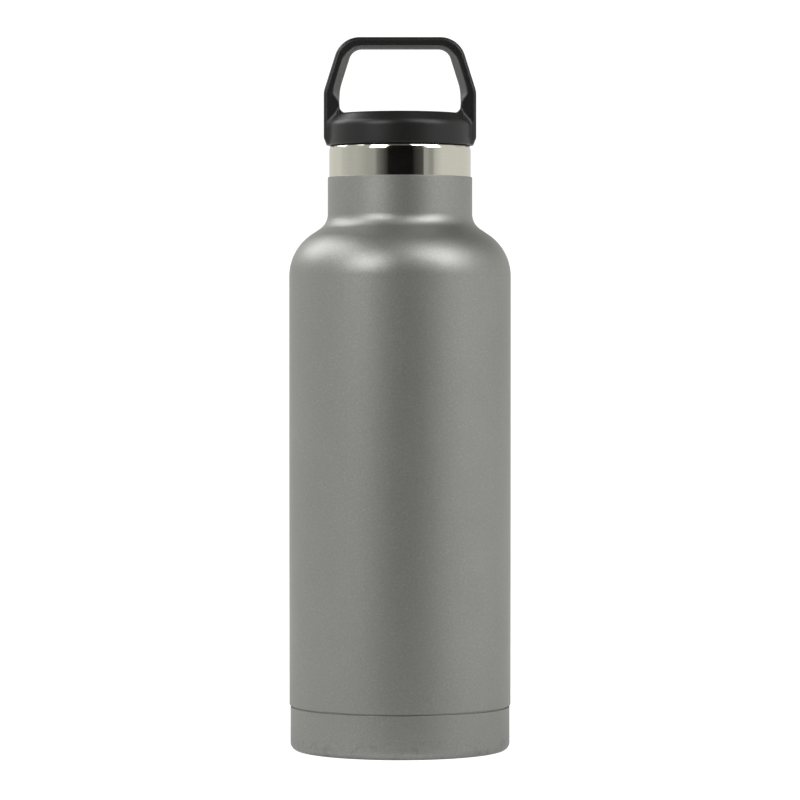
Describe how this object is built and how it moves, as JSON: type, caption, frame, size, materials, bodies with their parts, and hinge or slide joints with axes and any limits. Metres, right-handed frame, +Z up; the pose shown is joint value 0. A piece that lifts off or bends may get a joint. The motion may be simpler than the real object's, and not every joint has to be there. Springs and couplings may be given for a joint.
{
  "type": "insulated growler bottle",
  "caption": "Vacuum-insulated steel growler with a powder-coated body, a bare steel mouth ring, a threaded lid that unscrews and a rigid two-finger carry handle.",
  "frame": {"origin": "centre of the base, on the surface that the bottle stands on", "axes": "+Z up along the bottle's axis; the handle lies in the XZ plane with the lid closed, so -Y is the front"},
  "size_m": [0.086, 0.086, 0.2763],
  "materials": {
    "powder_coat": "satin powder coat, fine grain",
    "plain_steel": "electropolished stainless steel",
    "polished_steel": "mirror-polished stainless steel",
    "solder_glass": "fused",
    "getter_metal": "sintered",
    "foil": "bright foil",
    "silicone": "matte",
    "black_plastic": "satin moulded",
    "plug_plastic": "satin moulded",
    "foam": "expanded foam"
  },
  "bodies": {
    "bottle": {"outer_shell": "powder_coat", "base_cap": "powder_coat", "vacuum_bottom": "plain_steel", "port_seal": "solder_glass", "getter": "getter_metal", "getter_clip": "plain_steel", "heat_shield": "foil", "inner_vessel": "plain_steel", "inner_bottom": "plain_steel", "mouth_collar": "polished_steel"},
    "seal": {"lid_seal": "silicone"},
    "lid": {"lid_shell": "black_plastic", "lid_plug": "plug_plastic", "lid_foam": "foam"}
  },
  "joints": [
    {"name": "lid_lift", "type": "slide", "parent": "bottle", "child": "seal", "axis": [0, 0, 1], "range_m": [0, 0.014]},
    {"name": "lid_turn", "type": "hinge", "parent": "seal", "child": "lid", "pos_m": [0, 0, 0], "axis": [0, 0, 1], "range_deg": [0, 630]}
  ],
  "couplings": [
    {"joint": "lid_lift", "follows": "lid_turn", "m_per_rad": 0.0012732}
  ]
}
